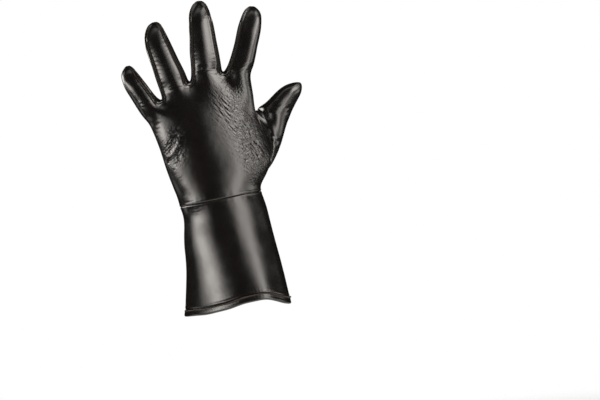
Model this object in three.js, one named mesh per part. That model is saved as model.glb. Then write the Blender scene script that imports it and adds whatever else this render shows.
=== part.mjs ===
// A costume glove: a gauntlet of thin glossy leather for the left hand, as it stands when it is worn.
// X runs to the thumb side, -Y is the back of the hand and Z runs up to the fingertips.
// The origin is the middle of the wrist seam. All sizes are in millimetres.
//
// The whole glove is one smooth skin. A coarse cage of four-sided faces is laid through the sections
// below, smoothed, and then cut along the seams into the pieces of leather that it is sewn from.

import * as THREE from 'three';

const WALL = 1.2; // leather
const HEM_WALL = 2.4; // leather turned under at the hem
const SEAM_GAP = 0.3; // between two edges that are sewn together
const SMOOTHINGS = 1; // how often each face of the cage is split in four
const FIT_STEPS = 12; // how often the cage is moved until its smooth skin meets the sections

// Points round the glove: side of the little finger, 12 on the back, thumb side, 12 on the palm.
const AROUND = 26;
const THUMB_SIDE = AROUND / 2;
const SIDE_SEAM = AROUND - 1; // the last point lies on the palm, just inside the little finger's side

// The outline of the cuff and the palm seen from the back, from the hem up to just under the fingers.
// left and right: the outline. z: height of the middle. slant: how much higher the right end is.
// back and palm: how far the section reaches to each side. turn: how much nearer to the back its right
// end stands than its middle. spread: 0 where the points round the section are even, 1 where they
// stand under the fingers. wave: share of the hem's wave.
const SECTIONS = [
  { z: -112, slant: 0, left: -55.2, right: 57, back: 41, palm: 42, turn: 14.5, spread: 0, wave: 1 },
  { z: -105, slant: 0, left: -53.2, right: 56, back: 39.6, palm: 40.6, turn: 12.9, spread: 0, wave: 0.95 },
  { z: -103, slant: 0, left: -52.6, right: 55.7, back: 39.2, palm: 40.2, turn: 12.4, spread: 0, wave: 0.9 },
  { z: -85, slant: 0, left: -49.2, right: 53.8, back: 36.2, palm: 37, turn: 8.5, spread: 0, wave: 0.5 },
  { z: -62, slant: 0, left: -45.5, right: 51.1, back: 32.8, palm: 33.4, turn: 4.5, spread: 0, wave: 0.1 },
  { z: -38, slant: 1, left: -44.2, right: 48, back: 29.4, palm: 29.8, turn: 1.5, spread: 0, wave: 0 },
  { z: -15, slant: 3.5, left: -41.4, right: 45, back: 26.4, palm: 26.8, turn: -0.5, spread: 0, wave: 0 },
  { z: 0, slant: 5.3, left: -42.9, right: 42, back: 25.4, palm: 26.2, turn: -1.8, spread: 0, wave: 0 },
  { z: 11, slant: 4, left: -44.7, right: 45.2, back: 24.6, palm: 26.4, turn: -2.8, spread: 0.15, wave: 0 },
  { z: 28, slant: 2, left: -49.2, right: 54.6, back: 23.2, palm: 26, turn: -4, spread: 0.3, wave: 0 },
  { z: 47, slant: 0, left: -53, right: 55.2, back: 22, palm: 24, turn: -5, spread: 0.5, wave: 0 },
  { z: 66, slant: 0, left: -56.6, right: 51.8, back: 21.2, palm: 20.5, turn: -5.4, spread: 0.7, wave: 0 },
  { z: 84, slant: 0, left: -61.8, right: 47.6, back: 20.6, palm: 17.4, turn: -3.4, spread: 0.9, wave: 0 },
];
const HEM_SECTIONS = 2; // the first sections, where the leather is turned under
const WRIST = 7; // the section of the wrist seam
const BACK_SQUARENESS = 1.95; // 2 is an ellipse, more is nearer to a box
const PALM_SQUARENESS = 2.3;
const KNUCKLE_FALL = 0.44; // how much of the way down to the fingers the back falls halfway past the knuckles
const KNUCKLE_VALLEYS = 0.1; // and how much of the dips between the fingers it has there

// How the hem waves: how much higher it is than its section's height, by the place across.
const HEM_WAVE = [
  { across: -1.0, rise: -3.0 },
  { across: -0.54, rise: -2.9 },
  { across: -0.12, rise: 0.3 },
  { across: 0.12, rise: 3.3 },
  { across: 0.35, rise: 4.7 },
  { across: 0.57, rise: 5.0 },
  { across: 0.75, rise: 2.0 },
  { across: 0.88, rise: -1.2 },
  { across: 1.0, rise: -3.7 },
];

// Sections of each finger seen from the back, from its root to its tip: the little finger's side of
// the section, its thumb side, how far its middle lies towards the palm, its depth, and roll, by which
// its thumb side lies nearer to the palm than its middle. near and far: how far out the seams lie on
// its back, towards the little finger and towards the thumb.
const FINGERS = {
  little: {
    near: 0.74,
    far: 0.72,
    sections: [
      { x1: -71.2, z1: 101.4, x2: -48.7, z2: 111.0, y: -3.4, depth: 24.6, roll: 0 },
      { x1: -75.3, z1: 110.2, x2: -53.5, z2: 117.0, y: -3.8, depth: 22.4, roll: 0 },
      { x1: -79.2, z1: 118.8, x2: -58.9, z2: 126.4, y: -4.0, depth: 21.2, roll: 0 },
      { x1: -82.9, z1: 128.4, x2: -63.7, z2: 134.8, y: -3.6, depth: 19.8, roll: 0 },
      { x1: -84.3, z1: 139.0, x2: -68.1, z2: 142.2, y: -2.4, depth: 16.4, roll: 0 },
    ],
    tip: { x: -76.6, y: -1.4, z: 149.4 },
  },
  ring: {
    near: 0.84,
    far: 0.78,
    sections: [
      { x1: -45.9, z1: 112.2, x2: -16.5, z2: 126.0, y: -1.6, depth: 27.0, roll: 0 },
      { x1: -48.3, z1: 126.4, x2: -18.8, z2: 134.4, y: -2.0, depth: 26.2, roll: 0.3 },
      { x1: -50.7, z1: 140.6, x2: -23.2, z2: 147.6, y: -1.9, depth: 25.4, roll: 0.6 },
      { x1: -53.5, z1: 153.8, x2: -27.1, z2: 160.4, y: -1.2, depth: 24.2, roll: 0.8 },
      { x1: -55.4, z1: 168.0, x2: -31.3, z2: 172.8, y: 0.0, depth: 22.2, roll: 0.8 },
      { x1: -52.6, z1: 181.4, x2: -34.9, z2: 182.8, y: 1.6, depth: 16.6, roll: 0.5 },
    ],
    tip: { x: -42.8, y: 2.8, z: 190.4 },
  },
  middle: {
    near: 0.85,
    far: 0.84,
    sections: [
      { x1: -13.7, z1: 126.8, x2: 19.4, z2: 131.0, y: 0.2, depth: 27.8, roll: 0.5 },
      { x1: -11.6, z1: 139.2, x2: 19.0, z2: 138.8, y: -0.2, depth: 27.0, roll: 1.0 },
      { x1: -10.7, z1: 153.2, x2: 18.4, z2: 152.8, y: -0.2, depth: 26.2, roll: 1.4 },
      { x1: -9.2, z1: 168.0, x2: 17.6, z2: 168.0, y: 0.4, depth: 24.8, roll: 1.4 },
      { x1: -7.5, z1: 183.2, x2: 16.6, z2: 182.6, y: 1.6, depth: 22.6, roll: 1.2 },
      { x1: -4.6, z1: 196.4, x2: 14.2, z2: 195.2, y: 3.4, depth: 17.6, roll: 0.6 },
    ],
    tip: { x: 6.0, y: 4.8, z: 206.0 },
  },
  index: {
    near: 0.76,
    far: 0.74,
    sections: [
      { x1: 22.2, z1: 131.2, x2: 47.4, z2: 120.2, y: 2.2, depth: 26.6, roll: -1 },
      { x1: 27.4, z1: 138.8, x2: 51.2, z2: 130.0, y: 1.8, depth: 24.8, roll: -2 },
      { x1: 32.9, z1: 150.4, x2: 56.0, z2: 142.0, y: 2.0, depth: 23.8, roll: -2.8 },
      { x1: 37.8, z1: 162.8, x2: 60.4, z2: 154.6, y: 3.0, depth: 22.6, roll: -2.8 },
      { x1: 42.4, z1: 175.6, x2: 64.9, z2: 168.0, y: 4.6, depth: 21.2, roll: -2.4 },
      { x1: 48.6, z1: 187.3, x2: 67.0, z2: 181.6, y: 6.2, depth: 16.8, roll: -1.4 },
    ],
    tip: { x: 59.8, y: 7.2, z: 192.8 },
  },
};
const FINGER_NAMES = Object.keys(FINGERS);
const CORNER = 0.74; // how far out the seams lie on a finger's palm
const WEB_DROP = 3.4; // how much lower the skin between two fingers is on the back and on the palm

// The thumb's sections: lower outer end, upper inner end, middle towards the palm, depth, and lean,
// by which the section's back turns towards the thumb side, in degrees.
const THUMB = [
  { x1: 53.9, z1: 27.0, x2: 47.2, z2: 86.4, y: 20.9, depth: 27.0, lean: 40 },
  { x1: 66.6, z1: 46.0, x2: 50.6, z2: 87.8, y: 23.6, depth: 28.4, lean: 26 },
  { x1: 76.2, z1: 65.4, x2: 52.8, z2: 90.0, y: 24.4, depth: 28.2, lean: 12 },
  { x1: 81.2, z1: 74.3, x2: 58.8, z2: 93.2, y: 24.4, depth: 26.4, lean: 4 },
  { x1: 87.4, z1: 84.6, x2: 68.5, z2: 100.4, y: 24.4, depth: 23.0, lean: 0 },
  { x1: 95.3, z1: 95.6, x2: 80.4, z2: 107.7, y: 24.6, depth: 17.6, lean: 0 },
];
const THUMB_TIP = { x: 97.6, y: 24.8, z: 108.6 };
const THUMB_ROWS = { first: 8, last: 12 }; // sections between which its hole lies in the palm
const THUMB_COLUMNS = { first: 14, last: 17 }; // points between which it lies, just behind the thumb side

// The thumb's seam on the palm, from the lower end of its fold on the thumb side round to the upper.
const THUMB_SEAM = [
  { row: 8, column: 14, x: 45.4, z: 16.4 },
  { row: 8, column: 15, x: 42.6, z: 18.6 },
  { row: 8, column: 16, x: 37.6, z: 21.4 },
  { row: 8, column: 17, x: 31.2, z: 25.8 },
  { row: 9, column: 17, x: 27.2, z: 37.6 },
  { row: 10, column: 17, x: 24.4, z: 53.0 },
  { row: 11, column: 17, x: 22.6, z: 70.0 },
  { row: 12, column: 17, x: 25.2, z: 84.0 },
  { row: 12, column: 16, x: 31.4, z: 90.6 },
  { row: 12, column: 15, x: 38.6, z: 92.2 },
  { row: 12, column: 14, x: 44.6, z: 89.4 },
];

// The main folds that the worn leather keeps, each along a line seen from the back.
// depth: how deep the fold lies. reach: how far to each side it fades out.
const FOLDS = [
  { x1: -46.0, z1: 56.0, x2: -36.0, z2: 68.0, depth: 0.6, reach: 6 },
  { x1: -50.0, z1: 43.0, x2: -38.0, z2: 48.0, depth: 0.8, reach: 6 },
  { x1: -1.0, z1: 134.5, x2: 18.0, z2: 132.0, depth: 0.8, reach: 7 },
  { x1: 64.0, z1: 88.0, x2: 80.0, z2: 82.5, depth: 0.4, reach: 7 },
  { x1: 57.0, z1: 62.0, x2: 66.0, z2: 51.0, depth: 0.4, reach: 6 },
];

const LEATHER = new THREE.MeshStandardMaterial({ color: 0x171513, roughness: 0.32, metalness: 0 });

const degrees = THREE.MathUtils.degToRad;
const mix = (a, b, share) => a + (b - a) * share;

// The cage: its points hold x, y, z and the wall's thickness, its faces their corners and their piece.
const cage = { points: [], faces: [], sewn: new Set() };
const edgeKey = (a, b) => (a < b ? `${a} ${b}` : `${b} ${a}`);

function addPoint(x, y, z, wall = WALL) {
  cage.points.push([x, y, z, wall]);
  return cage.points.length - 1;
}

function addFace(piece, ...corners) {
  cage.faces.push({ piece, corners });
}

// A point across one finger's section: side runs from -1 to 1 along it, front is -1 at the back.
function acrossSection({ x1, z1, x2, z2, y, depth, roll }, side, front, drop = 0) {
  const share = (side + 1) / 2;
  return [mix(x1, x2, share), y + side * roll + (front * depth) / 2, mix(z1, z2, share) - drop];
}

// A finger's section is squarer than an ellipse, just so much that it runs through its corners.
const FINGER_SQUARENESS = Math.log(1 / 2) / Math.log(CORNER);

// The eight points round a finger, from the little finger's side over the back.
function roundFinger({ near, far }) {
  const front = (side) => -((1 - side ** FINGER_SQUARENESS) ** (1 / FINGER_SQUARENESS));
  const back = [[-1, 0], [-near, front(near)], [0, -1], [far, front(far)], [1, 0]];
  return [...back, [CORNER, CORNER], [0, 1], [-CORNER, CORNER]];
}

// The row of points under the fingers: every finger's back and palm, and the hand's two sides.
// valleys: how much of the dips between the fingers the row has.
function rowUnderFingers(valleys) {
  const onFinger = (name, place) => {
    const [side, front] = roundFinger(FINGERS[name])[place];
    const atHandsSide = (name === 'little' && side < 0) || (name === 'index' && side > 0);
    const drop = side !== 0 && !atHandsSide ? WEB_DROP : 0;
    return acrossSection(FINGERS[name].sections[0], side, mix(Math.sign(front), front, valleys), drop);
  };
  const onEach = (names, places) => names.flatMap((name) => places.map((place) => onFinger(name, place)));
  const back = onEach(FINGER_NAMES, [1, 2, 3]);
  const palm = onEach([...FINGER_NAMES].reverse(), [5, 6, 7]);
  return [onFinger('little', 0), ...back, onFinger('index', 4), ...palm];
}

const underFingers = rowUnderFingers(1);

// How far across each point stands, from -1 to 1: evenly round an oval, and under the fingers.
const evenAcross = underFingers.map((_, i) => Math.cos(Math.PI + (2 * Math.PI * i) / AROUND));
const fingersAcross = underFingers.map(([x]) => {
  const left = underFingers[0][0];
  const right = underFingers[THUMB_SIDE][0];
  return (2 * (x - left)) / (right - left) - 1;
});

// A row's value between the two rows of a table that its place falls between.
function between(table, key, place) {
  const after = Math.max(1, table.findIndex((row) => row[key] >= place));
  const [low, high] = [table[after - 1], table[after]];
  const share = (place - low[key]) / (high[key] - low[key]);
  return (name) => mix(low[name], high[name], share);
}

// How far towards the palm the skin of the back or the palm lies, at a place across its section.
function depthAcross({ back, palm, turn }, across, onBack) {
  const squareness = onBack ? BACK_SQUARENESS : PALM_SQUARENESS;
  const bulge = Math.max(0, 1 - Math.abs(across) ** squareness) ** (1 / squareness);
  return (onBack ? -back : palm) * bulge - turn * across;
}

function sectionPoint(section, i) {
  const across = mix(evenAcross[i], fingersAcross[i], section.spread);
  const half = (section.right - section.left) / 2;
  const rise = between(HEM_WAVE, 'across', across)('rise') * section.wave;
  return [
    (section.left + section.right) / 2 + across * half,
    depthAcross(section, across, i < THUMB_SIDE),
    section.z + (section.slant * across) / 2 + rise,
  ];
}

// A point on the palm's side of the hand, seen from the back at x and z.
function onPalm(x, z) {
  const value = between(SECTIONS, 'z', Math.min(z, SECTIONS[SECTIONS.length - 1].z));
  const across = (2 * (x - value('left'))) / (value('right') - value('left')) - 1;
  const section = { back: value('back'), palm: value('palm'), turn: value('turn') };
  return [x, depthAcross(section, across, false), z];
}

// Cuff and palm: a tube of rows, with a row halfway between the last section and the fingers' roots.
const rows = SECTIONS.map((section, row) => {
  const wall = row < HEM_SECTIONS ? HEM_WALL : WALL;
  return underFingers.map((_, i) => [...sectionPoint(section, i), wall]);
});
const lastRow = rows[rows.length - 1];
const halfway = rowUnderFingers(KNUCKLE_VALLEYS).map(([x, y, z], i) => {
  const [lowX, lowY, lowZ] = lastRow[i];
  const fall = lowY < 0 ? KNUCKLE_FALL : 0.5;
  return [mix(lowX, x, 0.5), mix(lowY, y, fall), mix(lowZ, z, 0.5), WALL];
});
rows.push(halfway);
rows.push(underFingers.map((point) => [...point, WALL]));
for (const { row, column, x, z } of THUMB_SEAM) rows[row][column] = [...onPalm(x, z), WALL];
const isBetween = ({ first, last }, place, margin) => place >= first + margin && place < last;
const inThumbHole = (row, i) => isBetween(THUMB_ROWS, row, 0) && isBetween(THUMB_COLUMNS, i, 0);
const isLost = (row, i) => isBetween(THUMB_ROWS, row, 1) && isBetween(THUMB_COLUMNS, i, 1);
const tube = rows.map((points, row) =>
  points.map((point, i) => (isLost(row, i) ? null : addPoint(...point))),
);
const next = (i) => (i + 1) % AROUND;

for (let row = 0; row < tube.length - 1; row += 1) {
  const piece = row < WRIST ? 'cuff' : 'trank';
  for (let i = 0; i < AROUND; i += 1) {
    if (!inThumbHole(row, i)) {
      addFace(piece, tube[row][i], tube[row][next(i)], tube[row + 1][next(i)], tube[row + 1][i]);
    }
  }
  cage.sewn.add(edgeKey(tube[row][SIDE_SEAM], tube[row + 1][SIDE_SEAM]));
}

// A finger's root ring takes its back and palm from the tube and its two sides from the skin between.
const topRow = tube[tube.length - 1];

function rootRing(finger) {
  const name = FINGER_NAMES[finger];
  const back = 1 + 3 * finger;
  const palm = THUMB_SIDE + 1 + 3 * (FINGER_NAMES.length - 1 - finger);
  const atSide = (side) => addPoint(...acrossSection(FINGERS[name].sections[0], side, 0));
  const first = finger === 0 ? topRow[0] : atSide(-1);
  const fourth = finger === FINGER_NAMES.length - 1 ? topRow[THUMB_SIDE] : atSide(1);
  return [first, ...topRow.slice(back, back + 3), fourth, ...topRow.slice(palm, palm + 3)];
}

// Which piece covers the finger between two neighbouring points round it.
function fingerPiece(finger, place) {
  const thumbSide = place === 3 || place === 4;
  const littleSide = place === 7 || place === 0;
  if (thumbSide && finger < FINGER_NAMES.length - 1) {
    return `fourchette_${FINGER_NAMES[finger]}_${FINGER_NAMES[finger + 1]}`;
  }
  if (littleSide && finger > 0) {
    return `fourchette_${FINGER_NAMES[finger - 1]}_${FINGER_NAMES[finger]}`;
  }
  return 'trank';
}

const roots = FINGER_NAMES.map((_, finger) => rootRing(finger));
FINGER_NAMES.forEach((name, finger) => {
  const { sections, tip } = FINGERS[name];
  const rings = [roots[finger]];
  for (const section of sections.slice(1)) {
    const places = roundFinger(FINGERS[name]);
    rings.push(places.map(([side, front]) => addPoint(...acrossSection(section, side, front))));
  }
  for (let k = 0; k < rings.length - 1; k += 1) {
    for (let place = 0; place < 8; place += 1) {
      const after = (place + 1) % 8;
      const piece = fingerPiece(finger, place);
      addFace(piece, rings[k][place], rings[k][after], rings[k + 1][after], rings[k + 1][place]);
    }
    if (finger === 0) {
      cage.sewn.add(edgeKey(rings[k][7], rings[k + 1][7]));
    }
  }
  const last = rings[rings.length - 1];
  const end = addPoint(tip.x, tip.y, tip.z);
  for (const place of [1, 3, 5, 7]) {
    const corners = [0, 1, 2].map((step) => last[(place + step) % 8]);
    addFace(fingerPiece(finger, place), ...corners, end);
  }
  if (finger === 0) {
    cage.sewn.add(edgeKey(last[7], end));
  }
});

// The skin between two fingers, part of the strip that runs up both their sides.
for (let finger = 0; finger < FINGER_NAMES.length - 1; finger += 1) {
  const piece = fingerPiece(finger, 3);
  const [near, far] = [roots[finger], roots[finger + 1]];
  addFace(piece, near[3], far[1], far[0], near[4]);
  addFace(piece, near[4], far[0], far[7], near[5]);
}

// The thumb grows out of the hole's edge, taken from the middle of its lower end round the palm.
function thumbHoleEdge() {
  const { first: low, last: high } = THUMB_ROWS;
  const { first, last } = THUMB_COLUMNS;
  const edge = [];
  for (let i = first + 1; i < last; i += 1) edge.push(tube[low][i]);
  for (let row = low; row < high; row += 1) edge.push(tube[row][last]);
  for (let i = last; i > first; i -= 1) edge.push(tube[high][i]);
  for (let row = high; row > low; row -= 1) edge.push(tube[row][first]);
  edge.push(tube[low][first]);
  return edge;
}

function thumbRing({ x1, z1, x2, z2, y, depth, lean }, count) {
  const middle = [(x1 + x2) / 2, y, (z1 + z2) / 2];
  const outward = [(x1 - x2) / 2, 0, (z1 - z2) / 2];
  const palmward = [(-Math.sin(degrees(lean)) * depth) / 2, (Math.cos(degrees(lean)) * depth) / 2, 0];
  return Array.from({ length: count }, (_, i) => {
    const turn = (2 * Math.PI * i) / count;
    const [out, over] = [Math.cos(turn), Math.sin(turn)];
    return addPoint(...middle.map((m, k) => m + outward[k] * out + palmward[k] * over));
  });
}

const hole = thumbHoleEdge();
const thumbRings = [hole, ...THUMB.map((section) => thumbRing(section, hole.length))];
for (let k = 0; k < thumbRings.length - 1; k += 1) {
  const [ring, nextRing] = [thumbRings[k], thumbRings[k + 1]];
  hole.forEach((_, i) => {
    const after = (i + 1) % hole.length;
    addFace('thumb', ring[i], ring[after], nextRing[after], nextRing[i]);
  });
}
const thumbEnd = addPoint(THUMB_TIP.x, THUMB_TIP.y, THUMB_TIP.z);
const thumbLast = thumbRings[thumbRings.length - 1];
for (let i = 1; i < hole.length; i += 2) {
  const corners = [0, 1, 2].map((step) => thumbLast[(i + step) % hole.length]);
  addFace('thumb', ...corners, thumbEnd);
}

// The edges of a mesh, each with its two ends and the faces on it.
function edgesOf({ faces }) {
  const edges = new Map();
  faces.forEach(({ corners }, face) => {
    corners.forEach((a, k) => {
      const b = corners[(k + 1) % corners.length];
      const key = edgeKey(a, b);
      if (!edges.has(key)) edges.set(key, { key, ends: [a, b], faces: [] });
      edges.get(key).faces.push(face);
    });
  });
  return [...edges.values()];
}

// A sum of points, each given with its weight, and their plain average.
function weigh(...terms) {
  const sum = (k) => terms.reduce((total, [share, point]) => total + share * point[k], 0);
  return terms[0][1].map((_, k) => sum(k));
}

const average = (points) => weigh(...points.map((point) => [1 / points.length, point]));

// What lies round each point: the points along its edges and its open edges, and its faces.
function neighboursOf(mesh) {
  const around = mesh.points.map(() => ({ along: [], open: [], faces: [] }));
  for (const { ends, faces } of edgesOf(mesh)) {
    ends.forEach((a, k) => {
      const b = ends[1 - k];
      around[a].along.push(b);
      if (faces.length === 1) around[a].open.push(b);
    });
  }
  mesh.faces.forEach(({ corners }, face) => corners.forEach((a) => around[a].faces.push(face)));
  return around;
}

// Where each point ends on the smooth skin (the limit of Catmull and Clark's subdivision).
function onSmoothSkin(mesh) {
  return neighboursOf(mesh).map(({ along, open, faces }, a) => {
    const here = mesh.points[a];
    if (open.length) {
      return weigh([1 / 6, mesh.points[open[0]]], [4 / 6, here], [1 / 6, mesh.points[open[1]]]);
    }
    const n = along.length;
    const across = faces.map((face) => {
      const { corners } = mesh.faces[face];
      return mesh.points[corners[(corners.indexOf(a) + 2) % 4]];
    });
    const total = n * (n + 5);
    const near = average(along.map((b) => mesh.points[b]));
    return weigh([(n * n) / total, here], [(4 * n) / total, near], [n / total, average(across)]);
  });
}

// Moves the cage's points until its smooth skin passes through the sections that it was laid on.
function fitted(mesh) {
  const wanted = mesh.points;
  let { points } = mesh;
  for (let step = 0; step < FIT_STEPS; step += 1) {
    const reached = onSmoothSkin({ ...mesh, points });
    points = points.map((p, a) => weigh([1, p], [1, wanted[a]], [-1, reached[a]]));
  }
  return { ...mesh, points };
}

// One round of Catmull and Clark's subdivision, which splits each face into four.
function smoothed(mesh) {
  const { points, faces, sewn } = mesh;
  const middles = faces.map(({ corners }) => average(corners.map((a) => points[a])));
  const edges = edgesOf(mesh);
  const edgePoint = new Map();
  const made = [...points];
  const firstMiddle = made.length;
  made.push(...middles);
  const sewnNow = new Set();
  for (const { key, ends, faces: beside } of edges) {
    const both = ends.map((a) => points[a]);
    const at = made.length;
    const toEachSide = beside.length === 2 ? beside.map((face) => middles[face]) : [];
    made.push(average([...both, ...toEachSide]));
    edgePoint.set(key, at);
    if (sewn.has(key)) ends.forEach((a) => sewnNow.add(edgeKey(a, at)));
  }
  neighboursOf(mesh).forEach(({ along, open, faces: beside }, a) => {
    if (open.length) {
      made[a] = weigh([1 / 8, points[open[0]]], [6 / 8, points[a]], [1 / 8, points[open[1]]]);
      return;
    }
    const n = along.length;
    const edgeMiddles = average(along.map((b) => average([points[a], points[b]])));
    const faceMiddles = average(beside.map((face) => middles[face]));
    made[a] = weigh([1 / n, faceMiddles], [2 / n, edgeMiddles], [(n - 3) / n, points[a]]);
  });
  const split = faces.flatMap(({ piece, corners }, face) =>
    corners.map((a, k) => {
      const after = edgePoint.get(edgeKey(a, corners[(k + 1) % 4]));
      const before = edgePoint.get(edgeKey(a, corners[(k + 3) % 4]));
      return { piece, corners: [a, after, firstMiddle + face, before] };
    }),
  );
  return { points: made, faces: split, sewn: sewnNow };
}

const vector = (point) => new THREE.Vector3(point[0], point[1], point[2]);

// The direction that each point's skin faces, outward.
function facingOf({ points, faces }) {
  const facing = points.map(() => new THREE.Vector3());
  for (const { corners } of faces) {
    const [a, b, c, d] = corners.map((i) => vector(points[i]));
    const normal = c.sub(a).cross(d.sub(b));
    corners.forEach((i) => facing[i].add(normal));
  }
  return facing.map((normal) => normal.normalize());
}

// How deep the folds lie at a point of the skin that faces this way: they are on the back alone.
function depthOf([x, , z], facing) {
  let total = 0;
  for (const { x1, z1, x2, z2, depth, reach } of FOLDS) {
    const length = Math.hypot(x2 - x1, z2 - z1);
    const along = ((x - x1) * (x2 - x1) + (z - z1) * (z2 - z1)) / length ** 2;
    const nearest = THREE.MathUtils.clamp(along, 0, 1);
    const away = Math.hypot(x - mix(x1, x2, nearest), z - mix(z1, z2, nearest)) / reach;
    total += depth * Math.max(0, 1 - away ** 2) ** 2;
  }
  return total * Math.max(0, -facing.y);
}

function folded({ points, ...rest }, facing) {
  const lowered = points.map((point, i) => {
    const place = vector(point).addScaledVector(facing[i], -depthOf(point, facing[i]));
    return [...place, point[3]];
  });
  return { points: lowered, ...rest };
}

// The corners of one piece's faces, merged where faces meet away from a seam.
function mergedCorners(faces, edges, sewn) {
  const parent = faces.map(({ corners }) => corners.map(() => null));
  const root = (slot) => {
    let at = slot;
    while (parent[at[0]][at[1]]) at = parent[at[0]][at[1]];
    return at;
  };
  for (const { key, ends, faces: beside } of edges) {
    if (beside.length === 2 && !sewn.has(key)) {
      for (const a of ends) {
        const [one, other] = beside.map((face) => root([face, faces[face].corners.indexOf(a)]));
        if (one[0] !== other[0] || one[1] !== other[1]) parent[one[0]][one[1]] = other;
      }
    }
  }
  return (face, k) => root([face, k]).join(' ');
}

// One piece of leather: its share of the skin, drawn back from its seams and given its thickness.
function leatherPiece(skin, facing, name) {
  const faces = skin.faces.filter(({ piece }) => piece === name);
  const edges = edgesOf({ faces });
  const corner = mergedCorners(faces, edges, skin.sewn);
  const spots = new Map();
  const spotAt = (face, k) => {
    const key = corner(face, k);
    if (!spots.has(key)) spots.set(key, { number: spots.size, point: faces[face].corners[k], inward: [] });
    return spots.get(key);
  };
  const outline = faces.map((_, face) => [0, 1, 2, 3].map((k) => spotAt(face, k)));
  const border = [];
  const borderEdges = edges.filter((edge) => edge.faces.length === 1 || skin.sewn.has(edge.key));
  const isBorder = new Set(borderEdges.map(({ key }) => key));
  faces.forEach(({ corners }, face) => {
    corners.forEach((a, k) => {
      const after = (k + 1) % 4;
      if (!isBorder.has(edgeKey(a, corners[after]))) return;
      const along = vector(skin.points[corners[after]]).sub(vector(skin.points[a]));
      const normal = facing[a].clone().add(facing[corners[after]]);
      const inward = normal.cross(along).normalize();
      outline[face][k].inward.push(inward);
      outline[face][after].inward.push(inward);
      border.push([outline[face][k], outline[face][after]]);
    });
  });
  const outside = [];
  const inside = [];
  for (const { point, inward } of spots.values()) {
    const place = vector(skin.points[point]);
    if (inward.length) {
      const sum = inward.reduce((total, way) => total.add(way), new THREE.Vector3());
      const open = 1 + inward[0].dot(inward[inward.length - 1]);
      place.addScaledVector(sum, SEAM_GAP / 2 / (inward.length > 1 ? open : 1));
    }
    outside.push(place);
    inside.push(place.clone().addScaledVector(facing[point], -skin.points[point][3]));
  }
  const count = outside.length;
  const triangles = [];
  const quad = (a, b, c, d) => triangles.push(a, b, c, a, c, d);
  for (const [a, b, c, d] of outline.map((face) => face.map(({ number }) => number))) {
    quad(a, b, c, d);
    quad(d + count, c + count, b + count, a + count);
  }
  // Two pieces that meet at a seam split the faces there along the same diagonal, so that these
  // faces stay parallel.
  for (const [start, end] of border) {
    const [a, b] = [start.number, end.number];
    if (start.point < end.point) quad(b, a, a + count, b + count);
    else quad(a, a + count, b + count, b);
  }
  const geometry = new THREE.BufferGeometry().setFromPoints([...outside, ...inside]);
  geometry.setIndex(triangles);
  geometry.computeVertexNormals();
  const mesh = new THREE.Mesh(geometry, LEATHER.clone());
  mesh.name = name;
  return mesh;
}

let skin = fitted(cage);
for (let step = 0; step < SMOOTHINGS; step += 1) skin = smoothed(skin);
skin.points = onSmoothSkin(skin);
skin = folded(skin, facingOf(skin));
const facing = facingOf(skin);

const glove = new THREE.Group();
for (const name of new Set(skin.faces.map(({ piece }) => piece))) {
  glove.add(leatherPiece(skin, facing, name));
}

export default glove;
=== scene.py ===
# The looks of a costume glove: a gauntlet of thin glossy leather for the left hand, as it is worn.
#
# The glove is one smooth skin, laid through the same sections as its solids and then made much finer.
# Seams, folds and wrinkles are pressed into that skin, and it is cut along the seams into the pieces of
# leather that the glove is sewn from. Tables and shapes are in millimetres, and become metres when a
# mesh is made. X runs to the thumb side, -Y is the back of the hand and Z runs up to the fingertips.

import math

import bpy
import numpy as np
from mathutils import Matrix, Vector, kdtree, noise


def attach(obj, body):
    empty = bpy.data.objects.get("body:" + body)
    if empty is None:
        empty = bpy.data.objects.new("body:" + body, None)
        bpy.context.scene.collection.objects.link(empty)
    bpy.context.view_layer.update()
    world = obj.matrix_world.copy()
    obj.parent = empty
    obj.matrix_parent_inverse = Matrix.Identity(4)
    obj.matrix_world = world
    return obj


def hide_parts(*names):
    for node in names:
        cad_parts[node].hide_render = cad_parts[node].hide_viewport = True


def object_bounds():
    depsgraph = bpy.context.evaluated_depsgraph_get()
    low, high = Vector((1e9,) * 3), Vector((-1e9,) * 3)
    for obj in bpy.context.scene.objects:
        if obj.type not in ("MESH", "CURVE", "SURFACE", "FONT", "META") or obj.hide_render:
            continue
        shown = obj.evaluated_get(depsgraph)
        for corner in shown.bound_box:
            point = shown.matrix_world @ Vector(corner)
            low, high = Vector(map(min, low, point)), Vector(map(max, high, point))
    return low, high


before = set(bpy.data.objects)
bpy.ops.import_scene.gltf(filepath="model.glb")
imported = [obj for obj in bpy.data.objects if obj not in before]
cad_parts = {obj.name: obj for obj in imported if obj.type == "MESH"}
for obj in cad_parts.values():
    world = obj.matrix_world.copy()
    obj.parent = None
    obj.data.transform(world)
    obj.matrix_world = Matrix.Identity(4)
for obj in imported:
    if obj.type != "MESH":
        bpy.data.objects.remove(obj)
solid_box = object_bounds()

MM = 0.001  # metres
TINY = 1e-9  # keeps a division by a length from failing where the length is nothing

WALL = 1.2  # leather
HEM_WALL = 2.4  # leather turned under at the hem
SEAM_GAP = 0.12  # between two edges that are sewn together
FIT_STEPS = 12  # how often the cage is moved until its smooth skin meets the sections
FINE_ROUNDS = 4  # how often each face of the cage is split in four

# Points round the glove: side of the little finger, 12 on the back, thumb side, 12 on the palm.
AROUND = 26
THUMB_SIDE = AROUND // 2
SIDE_SEAM = AROUND - 1


def table(columns, *rows):
    """Rows of values under named columns."""
    return [dict(zip(columns.split(), row)) for row in rows]


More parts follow.
